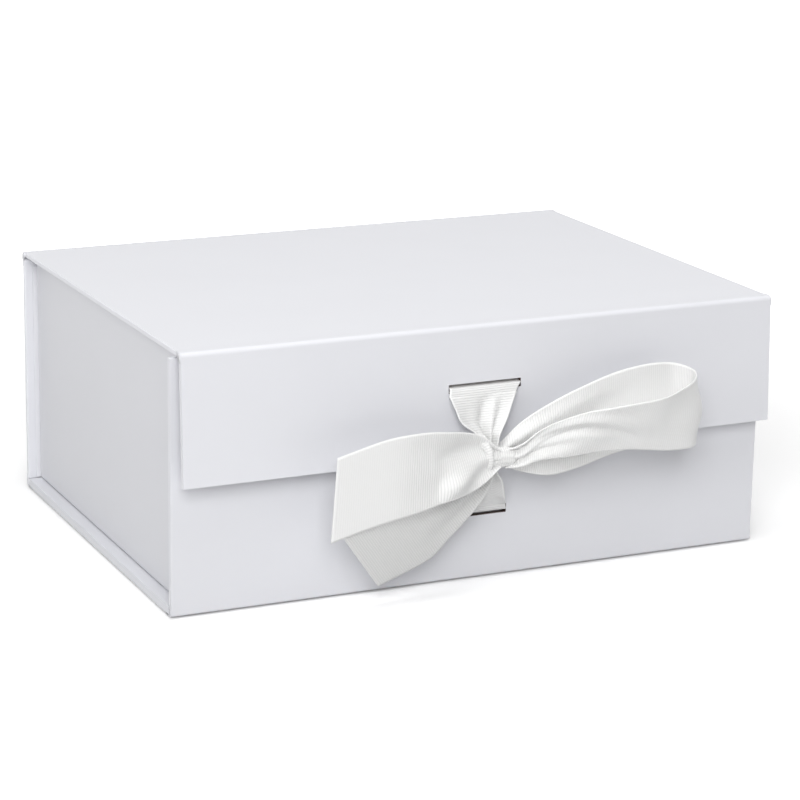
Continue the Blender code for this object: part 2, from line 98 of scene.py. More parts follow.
# The ribbon slots: how far right of the middle both are, their size, how far below
# the flap's fold one is, and how high on the front wall the other
SLOT_OFFSET = -0.0020
SLOT_LENGTH = 0.0270
SLOT_HEIGHT = 0.0030
FLAP_SLOT_DROP = 0.0211
WALL_SLOT_HEIGHT = 0.0234

# The knot's middle in the flap's frame, where the strands run in beside it, and how
# far each strand is glued down behind its slot
KNOT_PLACE = Vector((-0.0010, -0.0060, -0.0443))
KNOT_ENTRY = Vector((-0.0034, 0.0, 0.0))
GLUED_END = 0.0150

# The crease papers: thickness, how far they stand proud of the panels, how far they
# lap over these, more under the base, and the radius of each bend
CREASE_PAPER = 0.00025
CREASE_PROUD = 0.00003
CREASE_LAP = 0.0045
BASE_LAP = 0.0050
BASE_BEND = 0.0006
LID_BEND = 0.0018
FLAP_BEND = 0.0016

# Distance between the ribbon's warp threads, and how much smoother and rougher than
# its plain value a grained surface gets
WARP_PITCH = 0.00022
SMOOTHER = 0.06
ROUGHER = 0.08

# How deep the folds are that the bow's ribbons gather into at the knot, and those
# of the strands with their fine crimps. The strands' edges droop this far at most,
# and stay this far off the board.
GATHER_DEPTH = 0.0016
STRAND_FOLD = 0.0013
STRAND_CRIMP = 0.0009
STRAND_DROOP = 0.0034
STRAND_AIR = 0.0007

# Colours of the pieces inside, and how much darker the side walls' paper is painted,
# as painted shade
CARD_COLOUR = (0.80, 0.80, 0.82)
TAPE_COLOUR = (0.76, 0.72, 0.58)
STEEL_COLOUR = (0.55, 0.55, 0.56)
SIDE_WALL_SHADE = 0.93

# The floor where it is looked at: its own colour, bright enough to show white and
# still keep a shadow, and its glow, which grows between two distances from the
# box's middle, from the third number to the fourth. The gap stands for the base's
# slight bow, which shows as a dark line above the floor.
SEEN_FLOOR = (1.08, 1.08, 1.08)
FLOOR_GLOW = (0.16, 0.60, 0.08, 1.0)
UNDER_BOX_GAP = 0.0008

# The soft lamps: the setting that holds the power, the place and the width
LAMPS = (
    ("key", (-0.6, -1.25, 0.9), 0.8),
    ("side", (-1.35, -0.6, 0.7), 0.9),
    ("top", (0.1, -0.1, 1.6), 1.2),
)
LAMP_TARGET = (0.0, 0.0, 0.05)

# The camera that fits the picture: place, lens in millimetres, and how far it is
# turned to the right, down and about its own line, in degrees
CAMERA_PLACE = (-0.39934, -0.87948, 0.30887)
CAMERA_LENS = 124.01
CAMERA_TURN = (24.825, 15.421, -0.963)

# Rows along the two strands, from the slot to the knot: the share of the way, the
# share of the ribbon's full width, and how far its middle is moved to the right in
# millimetres.
UPPER_STRAND_ROWS = (
    (0.0, 0.85, -1.6),
    (0.20, 0.72, -1.9),
    (0.41, 0.577, -2.1),
    (0.60, 0.315, -1.0),
    (0.72, 0.22, -0.3),
    (1.0, 0.22, 0.0),
)
LOWER_STRAND_ROWS = (
    (0.0, 0.88, -0.5),
    (0.25, 0.73, -1.0),
    (0.50, 0.56, -0.6),
    (0.66, 0.42, -0.2),
    (0.82, 0.25, 0.0),
    (1.0, 0.22, 0.0),
)

# Rows along the bow's ribbons. Each gives how far right of the knot's middle,
# above it and out from it the ribbon's middle is, in millimetres, how far its
# width is turned from upright to the left and leans out, in degrees, and the
# share of its full width that it spreads over.
LOOP_ROWS = (
    (1.0, 0.5, 0.0, 0, 0, 0.22),
    (8.8, 2.7, 2.5, 5, 3, 0.60),
    (19.5, 4.7, 2.8, 0, 3, 0.88),
    (30.2, 7.5, 3.0, 0, 4, 0.98),
    (44.0, 11.2, 3.0, 0, 4, 1.00),
    (57.0, 12.9, 3.5, 3, 4, 1.00),
    (66.8, 12.9, 4.2, 6, 3, 0.97),
    (71.2, 11.9, 8.5, 7, 8, 0.93),
    (67.4, 11.2, 15.0, 9, 17, 0.94),
    (58.9, 10.4, 18.2, 8, 27, 0.94),
    (49.8, 10.4, 20.2, 7, 36, 0.92),
    (40.5, 10.6, 20.2, 9, 38, 0.86),
    (30.2, 10.1, 18.5, 5, 37, 0.78),
    (21.4, 8.5, 14.5, -3, 24, 0.60),
    (13.0, 5.2, 8.3, 0, 13, 0.40),
    (7.0, 1.2, 5.0, 0, 5, 0.27),
    (2.0, 0.0, 3.0, 0, 0, 0.22),
)
FRONT_TAIL_ROWS = (
    (-1.0, 0.6, 4.6, 0, 0, 0.20),
    (-7.0, 1.0, 5.2, 0, -4, 0.53),
    (-13.0, 0.8, 6.2, 0, -1, 0.70),
    (-21.5, 0.9, 8.0, 0, 3, 0.81),
    (-31.5, 0.1, 9.0, 0, 5, 0.94),
    (-46.0, -1.6, 9.5, -2, 5, 1.00),
    (-63.2, -5.6, 9.5, -3, 5, 1.00),
)
REAR_TAIL_ROWS = (
    (-1.0, -1.0, -1.5, 15, 0, 0.22),
    (-6.5, -6.7, 0.0, 36, 10, 0.42),
    (-13.9, -13.5, 0.0, 39.5, 20, 0.62),
    (-21.8, -18.5, 0.5, 40.5, 24, 0.81),
    (-31.3, -23.7, 1.2, 39.5, 22, 0.97),
    (-51.0, -29.5, 2.5, 38.5, 20, 1.00),
)

# Rows of the knot's two wraps: right, up and out from the knot's middle, and how
# thick the gathered ribbon is there, in millimetres.
UPRIGHT_WRAP_ROWS = (
    (-7.0, 8.3, 0.2, 1.0),
    (-6.6, 7.4, 2.4, 1.6),
    (-5.8, 5.8, 4.2, 1.6),
    (-5.1, 3.6, 5.4, 1.25),
    (-4.7, 1.0, 5.9, 1.0),
    (-4.6, -1.2, 5.4, 1.0),
    (-4.5, -2.8, 4.0, 1.0),
    (-4.2, -3.4, 1.8, 0.8),
)
LEVEL_WRAP_ROWS = (
    (-7.6, 0.8, 2.0, 2.2),
    (-5.8, 0.8, 2.6, 3.1),
    (-3.4, 0.7, 2.8, 3.4),
    (-0.6, 0.6, 2.9, 3.4),
    (2.0, 0.4, 2.9, 3.3),
    (4.4, 0.2, 2.8, 3.0),
    (6.6, 0.0, 2.6, 2.3),
)

# Lengthwise pleats. Each gives the rows where it begins and ends, its places
# across the ribbon at its beginning, half way and end, from -0.5 at the lower
# edge to 0.5 at the upper, its height in millimetres, its half width as a share
# of the ribbon's width, and how late along its way it is highest.
LOOP_PLEATS = (
    (10.2, 15.2, -0.20, 0.30, 0.06, 1.8, 0.10, 1.1),
    (10.4, 14.8, -0.36, 0.04, -0.12, -2.2, 0.09, 1.0),
    (11.0, 16.0, -0.12, -0.34, -0.34, 1.4, 0.13, 1.2),
    (0.4, 4.5, 0.26, 0.30, 0.34, -1.1, 0.11, 0.8),
    (0.4, 4.0, 0.04, 0.06, 0.10, 0.9, 0.10, 0.8),
    (5.4, 9.4, 0.00, 0.00, 0.00, 2.2, 0.32, 1.0),
)
FRONT_TAIL_PLEATS = (
    (0.2, 3.4, 0.06, -0.18, -0.34, 3.8, 0.18, 2.6),
    (0.4, 3.6, 0.34, 0.24, 0.12, -1.3, 0.13, 1.6),
)
REAR_TAIL_PLEATS = ((0.5, 3.0, 0.05, 0.10, 0.15, -1.2, 0.15, 1.4),)


# Settings


class PaperSettings(bpy.types.PropertyGroup):
    """Papers and boards."""

    wrap_colour: FloatVectorProperty(
        name="Wrap colour",
        description="White paper over the boards",
        subtype="COLOR",
        default=(0.755, 0.76, 0.795),
        min=0.0,
        max=1.0,
    )
    inner_colour: FloatVectorProperty(
        name="Inner paper colour",
        description="White paper on the inner faces",
        subtype="COLOR",
        default=(0.74, 0.745, 0.775),
        min=0.0,
        max=1.0,
    )
    # The slot walls' colour: raw board, made very dark so that it also paints the
    # shade inside the narrow slots
    slot_board_shade_colour: FloatVectorProperty(
        name="Slot board and shade colour",
        description="Raw board where the ribbon slots cut through it",
        subtype="COLOR",
        default=(0.10, 0.065, 0.055),
        min=0.0,
        max=1.0,
    )
    grain: FloatProperty(
        name="Grain size",
        description="Size of the paper's fibres",
        default=0.00045,
        min=0.0001,
        subtype="DISTANCE",
        unit="LENGTH",
    )
    grain_depth: FloatProperty(
        name="Grain depth",
        description="Height of the paper's grain",
        default=0.000012,
        min=0.0,
        subtype="DISTANCE",
        unit="LENGTH",
    )
    # Width of the painted highlight: the paper is painted lighter this far in from the
    # boards' edges
    edge_width: FloatProperty(
        name="Edge highlight",
        description="How far in from its edges the paper is painted lighter as a highlight",
        default=0.0013,
        min=0.0001,
        subtype="DISTANCE",
        unit="LENGTH",
    )


class RibbonSettings(bpy.types.PropertyGroup):
    """The grosgrain ribbon."""

    width: FloatProperty(
        name="Width",
        description="Width of the ribbon",
        default=0.029,
        min=0.005,
        subtype="DISTANCE",
        unit="LENGTH",
    )
    thickness: FloatProperty(
        name="Thickness",
        description="Thickness of the ribbon",
        default=0.0004,
        min=0.0001,
        subtype="DISTANCE",
        unit="LENGTH",
    )
    rib_pitch: FloatProperty(
        name="Rib pitch",
        description="Distance from one cross rib to the next",
        default=0.00085,
        min=0.0002,
        subtype="DISTANCE",
        unit="LENGTH",
    )
    rib_depth: FloatProperty(
        name="Rib depth",
        description="Height of the cross ribs",
        default=0.00011,
        min=0.0,
        subtype="DISTANCE",
        unit="LENGTH",
    )
    selvedge: FloatProperty(
        name="Selvedge",
        description="Width of the woven edge",
        default=0.0009,
        min=0.0,
        subtype="DISTANCE",
        unit="LENGTH",
    )
    colour: FloatVectorProperty(
        name="Colour",
        description="Warm white yarn",
        subtype="COLOR",
        default=(0.875, 0.875, 0.87),
        min=0.0,
        max=1.0,
    )


class StageSettings(bpy.types.PropertyGroup):
    """Floor and light."""

    floor_colour: FloatVectorProperty(
        name="Floor colour",
        description="Pale floor",
        subtype="COLOR",
        default=(0.72, 0.72, 0.72),
        min=0.0,
        max=1.0,
    )
    sky: FloatProperty(
        name="Sky strength",
        description="Strength of the even light all round",
        default=0.15,
        min=0.0,
    )
    key: FloatProperty(
        name="Key lamp",
        description="Power of the soft lamp in front and above",
        default=13.5,
        min=0.0,
        unit="POWER",
    )
    side: FloatProperty(
        name="Side lamp",
        description="Power of the soft lamp at the left",
        default=6.3,
        min=0.0,
        unit="POWER",
    )
    top: FloatProperty(
        name="Top lamp",
        description="Power of the soft lamp overhead",
        default=14.1,
        min=0.0,
        unit="POWER",
    )


# Shader helpers


def clear_tree(owner):
    """The emptied node tree of a material or a world."""
    owner.use_nodes = True
    owner.node_tree.nodes.clear()
    return owner.node_tree


def add_node(tree, kind, sockets=None, **options):
    """Add one node. sockets gives a value, or an output to link, for each input."""
    made = tree.nodes.new(kind)
    for option, value in options.items():
        setattr(made, option, value)
    for name, value in (sockets or {}).items():
        if isinstance(value, bpy.types.NodeSocket):
            tree.links.new(value, made.inputs[name])
        else:
            made.inputs[name].default_value = value
    return made


def maths(tree, operation, first, second=0.0):
    """The output of one Math node."""
    return add_node(
        tree, "ShaderNodeMath", {0: first, 1: second}, operation=operation
    ).outputs[0]


def vector_maths(tree, operation, *vectors):
    """The vector that one Vector Math node puts out."""
    return add_node(
        tree, "ShaderNodeVectorMath", dict(enumerate(vectors)), operation=operation
    ).outputs[0]


def parts_of(tree, vector):
    """The X, Y and Z of a vector, as three outputs."""
    return tuple(add_node(tree, "ShaderNodeSeparateXYZ", {0: vector}).outputs)


def noise(tree, place, scale, detail, roughness=0.5):
    """The output of one Noise Texture node."""
    return add_node(
        tree,
        "ShaderNodeTexNoise",
        {"Vector": place, "Scale": scale, "Detail": detail, "Roughness": roughness},
    ).outputs[0]


def ramp(tree, value, begin, end, low=0.0, high=1.0, kind="SMOOTHSTEP"):
    """A number that goes from low to high while value goes from begin to end."""
    return add_node(
        tree,
        "ShaderNodeMapRange",
        {
            "Value": value,
            "From Min": begin,
            "From Max": end,
            "To Min": low,
            "To Max": high,
        },
        interpolation_type=kind,
    ).outputs[0]


def mix_value(tree, factor, first, second):
    """The output of a mix of two numbers or outputs."""
    return add_node(
        tree,
        "ShaderNodeMix",
        {"Factor": factor, "A": first, "B": second},
        data_type="FLOAT",
    ).outputs[0]


def mix_colour(tree, factor, first, second):
    """The output of a colour mix; first and second are colours or outputs."""
    sockets = {"Factor": factor}
    for index, colour in ((6, first), (7, second)):
        linked = isinstance(colour, bpy.types.NodeSocket)
        sockets[index] = colour if linked else (*colour, 1.0)
    return add_node(tree, "ShaderNodeMix", sockets, data_type="RGBA").outputs[2]


def shade(colour, factor):
    """A colour made lighter or darker."""
    return tuple(min(channel * factor, 1.0) for channel in colour)


# Effects that several materials share


def new_group(name, inputs, outputs):
    """A shader node group: its tree, what it is given and what it puts out.

    inputs gives the default of each input, a number or a vector. Every output is
    a number.
    """
    tree = bpy.data.node_groups.new(name, "ShaderNodeTree")
    for label, value in inputs.items():
        kind = "NodeSocketFloat" if isinstance(value, float) else "NodeSocketVector"
        socket = tree.interface.new_socket(
            name=label, in_out="INPUT", socket_type=kind
        )
        socket.default_value = value
    for label in outputs:
        tree.interface.new_socket(
            name=label, in_out="OUTPUT", socket_type="NodeSocketFloat"
        )
    given = tree.nodes.new("NodeGroupInput").outputs
    result = tree.nodes.new("NodeGroupOutput").inputs
    return tree, given, result


def place_group(tree, name, sockets):
    """Put a shader node group into a material. Gives its outputs."""
    group = bpy.data.node_groups[name]
    return add_node(tree, "ShaderNodeGroup", sockets, node_tree=group).outputs


def make_paper_grain(name):
    """Fibres of paper: a height for the bump and a slow mottle for the colour."""
    tree, given, result = new_group(
        name,
        {"Vector": (0.0, 0.0, 0.0), "Fibre size": 0.0005, "Mottle size": 0.02},
        ("Height", "Mottle"),
    )
    place = given["Vector"]
    fibres = maths(tree, "DIVIDE", 1.0, given["Fibre size"])
    patches = maths(tree, "DIVIDE", 1.0, given["Mottle size"])
    tree.links.new(noise(tree, place, fibres, 3.0, 0.6), result["Height"])
    tree.links.new(noise(tree, place, patches, 2.0), result["Mottle"])


def make_painted_edge_highlight(name):
    """A mask that is 1 along the edges of a box and fades inwards over a width, for a
    painted highlight.
    """
    tree, given, result = new_group(
        name,
        {
            "Vector": (0.0, 0.0, 0.0),
            "Low corner": (0.0, 0.0, 0.0),
            "High corner": (1.0, 1.0, 1.0),
            "Width": 0.001,
        },
        ("Mask",),
    )
    place = given["Vector"]
    from_low = vector_maths(tree, "SUBTRACT", place, given["Low corner"])
    from_high = vector_maths(tree, "SUBTRACT", given["High corner"], place)
    x, y, z = parts_of(tree, vector_maths(tree, "MINIMUM", from_low, from_high))
    least = maths(tree, "MINIMUM", maths(tree, "MINIMUM", x, y), z)
    most = maths(tree, "MAXIMUM", maths(tree, "MAXIMUM", x, y), z)
    total = maths(tree, "ADD", maths(tree, "ADD", x, y), z)
    # An edge is where the second smallest of the three distances is small too
    second = maths(tree, "SUBTRACT", maths(tree, "SUBTRACT", total, least), most)
    uneven = maths(tree, "ADD", noise(tree, place, 400.0, 2.0), 0.5)
    reach = maths(tree, "MULTIPLY", given["Width"], uneven)
    share = maths(tree, "DIVIDE", second, reach)
    tree.links.new(ramp(tree, share, 1.0, 0.0), result["Mask"])


def make_grosgrain(name):
    """Cross ribs, fine warp and selvedge of a ribbon, from its own UV in metres."""
    tree, given, result = new_group(
        name,
        {
            "Vector": (0.0, 0.0, 0.0),
            "Rib pitch": 0.00085,
            "Warp pitch": WARP_PITCH,
            "Half width": 0.0145,
            "Selvedge": 0.0009,
        },
        ("Height", "Rib", "Edge", "Slub"),
    )
    across, along, _ = parts_of(tree, given["Vector"])
    slub = noise(tree, given["Vector"], 260.0, 2.0)
    ribs = maths(tree, "DIVIDE", along, given["Rib pitch"])
    turns = maths(tree, "ADD", ribs, maths(tree, "MULTIPLY", slub, 0.35))
    wave = maths(tree, "SINE", maths(tree, "MULTIPLY", turns, math.pi))
    rib = maths(tree, "POWER", maths(tree, "ABSOLUTE", wave), 0.7)
    threads = maths(tree, "DIVIDE", across, given["Warp pitch"])
    warp = maths(tree, "SINE", maths(tree, "MULTIPLY", threads, 2 * math.pi))
    from_edge = maths(
        tree, "SUBTRACT", given["Half width"], maths(tree, "ABSOLUTE", across)
    )
    band = given["Selvedge"]
    edge = ramp(tree, from_edge, band, maths(tree, "MULTIPLY", band, 0.7))
    body = maths(tree, "ADD", rib, maths(tree, "MULTIPLY", warp, 0.06))
    flat = maths(tree, "ADD", maths(tree, "MULTIPLY", rib, 0.35), 0.65)
    tree.links.new(mix_value(tree, edge, body, flat), result["Height"])
    tree.links.new(rib, result["Rib"])
    tree.links.new(edge, result["Edge"])
    tree.links.new(slub, result["Slub"])


# Materials


def start_material(name):
    """A new material with its shader and output: (material, tree, shader)."""
    material = bpy.data.materials.new(name)
    tree = clear_tree(material)
    shader = add_node(tree, "ShaderNodeBsdfPrincipled")
    add_node(tree, "ShaderNodeOutputMaterial", {"Surface": shader.outputs[0]})
    return material, tree, shader


def finish_surface(tree, shader, colour, uneven, rough, height, depth):
    """Link a shader's colour, a roughness between two values, and its bump."""
    tree.links.new(colour, shader.inputs["Base Color"])
    roughness = ramp(tree, uneven, 0.0, 1.0, *rough, kind="LINEAR")
    tree.links.new(roughness, shader.inputs["Roughness"])
    bump = add_node(
        tree,
        "ShaderNodeBump",
        {"Height": height, "Distance": depth, "Strength": 1.0},
    )
    tree.links.new(bump.outputs[0], shader.inputs["Normal"])


def board_frame(matrix):
    """Location and rotation for a Mapping node that undoes a frame's placing."""
    undo = matrix.inverted()
    return undo.to_translation(), undo.to_euler()


def slot_mask(tree, place, low, high):
    """1 inside a box, on faces that don't look along Y, and 0 elsewhere."""
    middle = [(a + b) / 2 for a, b in zip(low, high)]
    half = [(b - a) / 2 for a, b in zip(low, high)]
    offset = vector_maths(tree, "SUBTRACT", place, middle)
    x, _, z = parts_of(tree, vector_maths(tree, "ABSOLUTE", offset))
    normal = add_node(tree, "ShaderNodeTexCoord").outputs["Normal"]
    facing = maths(tree, "ABSOLUTE", parts_of(tree, normal)[1])
    inside_x = maths(tree, "LESS_THAN", x, half[0])
    inside_z = maths(tree, "LESS_THAN", z, half[2])
    inside = maths(tree, "MULTIPLY", inside_x, inside_z)
    return maths(tree, "MULTIPLY", inside, maths(tree, "LESS_THAN", facing, 0.5))


def paper_material(
    name, colour, low=None, high=None, matrix=None, slot_box=None, rough=0.42
):
    """Paper with its grain, and a painted highlight along the edges of the board it
    wraps.

    low and high are the board's corners, in its own frame if matrix is given.
    slot_box is the part of that frame where a ribbon slot bares the board, painted
    very dark as painted shade inside the slot.
    """
    settings = bpy.context.scene.gift_box_paper
    material, tree, shader = start_material(name)
    place = add_node(tree, "ShaderNodeTexCoord").outputs["Object"]
    own = place
    if matrix is not None:
        location, rotation = board_frame(matrix)
        own = add_node(
            tree,
            "ShaderNodeMapping",
            {"Vector": place, "Location": location, "Rotation": rotation},
        ).outputs[0]
    grain = place_group(
        tree,
        "Paper grain",
        {"Vector": place, "Fibre size": settings.grain, "Mottle size": 0.030},
    )
    pale = shade(colour, 1.01)
    finish = mix_colour(tree, grain["Mottle"], shade(colour, 0.985), pale)
    # Painted highlight: the paper is made paler along the board's edges
    if low is not None:
        edge_highlight = place_group(
            tree,
            "Edge rub",
            {
                "Vector": own,
                "Low corner": low,
                "High corner": high,
                "Width": settings.edge_width,
            },
        )
        finish = mix_colour(tree, edge_highlight["Mask"], finish, pale)
    # The bared board in the slots is also painted shade
    if slot_box is not None:
        bared = slot_mask(tree, own, *slot_box)
        finish = mix_colour(tree, bared, finish, settings.slot_board_shade_colour)
    height = grain["Height"]
    spread = (rough - SMOOTHER, rough + ROUGHER)
    finish_surface(
        tree, shader, finish, height, spread, height, settings.grain_depth
    )
    shader.inputs["Specular IOR Level"].default_value = 0.4
    return material


def ribbon_material(name, shade_tone=1.0, smooth=None):
    """Ribbed ribbon: rounded cross ribs, a flatter woven edge and a soft sheen.

    The tone paints shade: it darkens the yarn's colour on ribbons that lie more in
    shade, most on the rear tail.
    smooth gives the distances from the knot between which the ribs soften, how
    strong they still are after that, and how long the ribbon is if both of its
    ends are in the knot. Without it they stand out all along.
    """
    settings = bpy.context.scene.gift_box_ribbon
    material, tree, shader = start_material(name)
    own = add_node(tree, "ShaderNodeUVMap", uv_map="Ribbon").outputs[0]
    weave = place_group(
        tree,
        "Grosgrain",
        {
            "Vector": own,
            "Rib pitch": settings.rib_pitch,
            "Warp pitch": WARP_PITCH,
            "Half width": settings.width / 2,
            "Selvedge": settings.selvedge,
        },
    )
    ribbing = 1.0
    if smooth is not None:
        near, far, least, length = smooth
        along = parts_of(tree, own)[1]
        to_end = maths(tree, "SUBTRACT", length, along)
        from_knot = maths(tree, "MINIMUM", along, to_end)
        ribbing = ramp(tree, from_knot, near, far, 1.0, least)
    # Painted shade: the colour is darker between the ribs; the yarn is paler along the
    # woven edge
    valley = maths(tree, "SUBTRACT", 1.0, weave["Rib"])
    crest = maths(tree, "SUBTRACT", 1.0, maths(tree, "MULTIPLY", valley, ribbing))
    # A tone below 1 paints shade over the whole ribbon
    colour = shade(settings.colour, shade_tone)
    rib_shaded_colour = mix_colour(tree, crest, shade(colour, 0.84), shade(colour, 1.01))
    selvedge = maths(tree, "MULTIPLY", weave["Edge"], 0.6)
    edged = mix_colour(tree, selvedge, rib_shaded_colour, shade(colour, 1.04))
    height = maths(tree, "MULTIPLY", weave["Height"], ribbing)
    finish_surface(
        tree, shader, edged, weave["Slub"], (0.42, 0.6), height, settings.rib_depth
    )
    shader.inputs["Sheen Weight"].default_value = 0.15
    shader.inputs["Sheen Roughness"].default_value = 0.4
    return material


def plain_material(name, colour, rough, metallic=0.0, depth=0.00001):
    """A finish with a fine grain of its own, for card, tape and steel."""
    material, tree, shader = start_material(name)
    place = add_node(tree, "ShaderNodeTexCoord").outputs["Object"]
    grain = place_group(
        tree,
        "Paper grain",
        {"Vector": place, "Fibre size": 0.0008, "Mottle size": 0.012},
    )
    tint = mix_colour(tree, grain["Mottle"], shade(colour, 0.95), shade(colour, 1.03))
    height = grain["Height"]
    spread = (rough - SMOOTHER, rough + ROUGHER)
    finish_surface(tree, shader, tint, height, spread, height, depth)
    shader.inputs["Metallic"].default_value = metallic
    return material


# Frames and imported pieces


def joint_frame(name, lean=0.0):
    """The frame of a lid or flap hinge: X along its line and Z up, leaning about X."""
    joint = next(j for j in frame["joints"] if j["name"] == name)
    axis = Vector(joint["axis"])
    skew = math.atan2(-axis.y, -axis.x)
    return (
        Matrix.Translation(Vector(joint["pos_m"]))
        @ Matrix.Rotation(skew, 4, "Z")
        @ Matrix.Rotation(-lean, 4, "X")
    )


def dress(node, material):
    """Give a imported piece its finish."""
    for slot in frame["nodes"][node].material_slots:
        slot.link = "OBJECT"
        slot.material = material


def own_corners(node, matrix=None):
    """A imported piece's lowest and highest corners, in its own frame."""
    undo = matrix.inverted() if matrix is not None else Matrix.Identity(4)
    points = [undo @ v.co for v in frame["nodes"][node].data.vertices]
    low = tuple(min(p[i] for p in points) for i in range(3))
    high = tuple(max(p[i] for p in points) for i in range(3))
    return low, high


# Meshes


def new_piece(name, shape):
    """A smooth object in the scene, made from a finished bmesh."""
    mesh = bpy.data.meshes.new(name)
    shape.to_mesh(mesh)
    shape.free()
    mesh.shade_smooth()
    piece = bpy.data.objects.new(name, mesh)
    bpy.context.scene.collection.objects.link(piece)
    return piece


def thicken(piece, thickness, offset):
    """Give a sheet its thickness, on both sides at offset 0, or inwards at -1."""
    solid = piece.modifiers.new("thickness", "SOLIDIFY")
    solid.thickness = thickness
    solid.offset = offset


def spline(rows, t):
    """A point on the smooth curve that passes through every row; t counts the rows."""
    span = min(int(t), len(rows) - 2)
    t -= span
    a = rows[max(span - 1, 0)]
    b = rows[span]
    c = rows[span + 1]
    d = rows[min(span + 2, len(rows) - 1)]
    point = b * 2 + (c - a) * t
    point += (a * 2 - b * 5 + c * 4 - d) * t**2
    point += (b * 3 - a - c * 3 + d) * t**3
    return point / 2


def lean_direction(turn, lean):
    """A ribbon's width direction: turned from upright to the left, and leaning out."""
    turn = math.radians(turn)
    lean = math.radians(lean)
    return Vector(
        (
            -math.sin(turn) * math.cos(lean),
            -math.sin(lean),
            math.cos(turn) * math.cos(lean),
        )
    )


def pleat_height(pleats, t, s):
    """How far the pleats lift the ribbon at row t and place s across it."""
    height = 0.0
    for begin, end, first, halfway, last, lift, half_width, late in pleats:
        if begin < t < end:
            way = (t - begin) / (end - begin)
            # The pleat's middle runs on the parabola through its three places
            middle = first * (2 * way - 1) * (way - 1)
            middle += halfway * 4 * way * (1 - way) + last * way * (2 * way - 1)
            swell = math.sin(math.pi * way**late) ** 1.2
            height += lift * MM * swell * math.exp(-(((s - middle) / half_width) ** 2))
    return height


def ribbon_mesh(name, sections, strips):
    """A sheet of ribbon with a UV map in metres, and its length along its middle.

    sections gives for each cross section the middle, the width direction, the
    share of the width that it spreads over and a function of s for its folds.
    """
    width = bpy.context.scene.gift_box_ribbon.width
    shape = bmesh.new()
    layer = shape.loops.layers.uv.new("Ribbon")
    rows = []
    last = len(sections) - 1
    travelled = 0.0
    lengths = []
    for i, (middle, across, share, fold) in enumerate(sections):
        along = sections[min(i + 1, last)][0] - sections[max(i - 1, 0)][0]
        across = across.normalized()
        normal = across.cross(along).normalized()
        if i:
            travelled += (middle - sections[i - 1][0]).length
        lengths.append(travelled)
        row = []
        for j in range(strips + 1):
            s = j / strips - 0.5
            point = middle + across * (s * width * share) + normal * fold(s)
            row.append(shape.verts.new(point))
        rows.append(row)
    for i in range(last):
        for j in range(strips):
            corners = ((i, j), (i + 1, j), (i + 1, j + 1), (i, j + 1))
            face = shape.faces.new([rows[a][b] for a, b in corners])
            for loop, (a, b) in zip(face.loops, corners):
                loop[layer].uv = ((b / strips - 0.5) * width, lengths[a])
    piece = new_piece(name, shape)
    thicken(piece, bpy.context.scene.gift_box_ribbon.thickness, 0.0)
    return piece, travelled


def bow_ribbon(name, node, rows, pleats, steps, shade_tone, smooth):
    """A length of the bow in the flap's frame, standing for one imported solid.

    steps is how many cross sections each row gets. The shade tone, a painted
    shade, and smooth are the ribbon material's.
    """
    flap = joint_frame("flap_hinge", FLAP_LEAN)
    places = [
        KNOT_PLACE + Vector((right, -out, up)) * MM for right, up, out, *_ in rows
    ]
    turns = [lean_direction(row[3], row[4]) for row in rows]
    spreads = [Vector((row[5], 0, 0)) for row in rows]
    sections = []
    for i in range(steps * (len(rows) - 1) + 1):
        t = i / steps
        share = min(spline(spreads, t).x, 1.0)
        gather = GATHER_DEPTH * (1.0 - share)

        def fold(s, t=t, gather=gather):
            wave = gather * math.cos(4 * math.pi * s)
            return wave + pleat_height(pleats, t, s)

        sections.append((spline(places, t), spline(turns, t), share, fold))
    piece, length = ribbon_mesh(name, sections, strips=32)
    piece.data.transform(flap)
    piece.data.materials.append(ribbon_material(name + "_weave", shade_tone, smooth))
    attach(piece, "flap")
    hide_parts(node)


def strand_path(slot, outer, inner, glue_up, knot, rows):
    """Middle, share of the width, way along and room behind, up to the knot.

    The path starts at the ribbon's glued end and comes out through the slot, whose
    middle is given across and up. outer and inner are the faces of its board and
    paper, and glue_up is 1 where the glued end lies above the slot and -1 below.
    """
    ribbon = bpy.context.scene.gift_box_ribbon
    glue = 0.0003
    spare = 0.0004
    lie = ribbon.thickness / 2 + glue
    slot_x, slot_z = slot
    rows = [Vector(row) for row in rows]
    aside = Vector((rows[0].z * MM, 0.0, 0.0))
    begin = Vector((slot_x, outer - 0.0015, slot_z - glue_up * 0.0028))
    # From the glued end to the slot's edge, through the board and round its face
    stations = [
        Vector((slot_x, inner + lie, slot_z + glue_up * GLUED_END)),
        Vector((slot_x, inner + lie, slot_z + glue_up * 0.0035)),
        Vector((slot_x, inner + lie - 0.0004, slot_z + glue_up * 0.0013)),
        Vector((slot_x, (outer + inner) / 2, slot_z + glue_up * 0.0004)),
        Vector((slot_x, outer - 0.0002, slot_z + glue_up * 0.0001)),
        Vector((slot_x, outer - 0.0010, slot_z - glue_up * 0.0010)) + aside / 2,
        begin + aside,
    ]
    in_slot = (SLOT_LENGTH - spare) / ribbon.width
    fine = 5
    path = []
    for i in range(fine * (len(stations) - 1)):
        outside = max(i / fine - 4, 0.0) / 2
        share = in_slot + (rows[0].y - in_slot) * outside
        path.append((spline(stations, i / fine), share, 0.0, 0.0))
    steps = 48
    for i in range(steps + 1):
        way, share, shift = spline(rows, i / steps * (len(rows) - 1))
        middle = begin.lerp(knot, way) + Vector((shift * MM, 0.0, 0.0))
        path.append((middle, share, way, outer - middle.y))
    return path


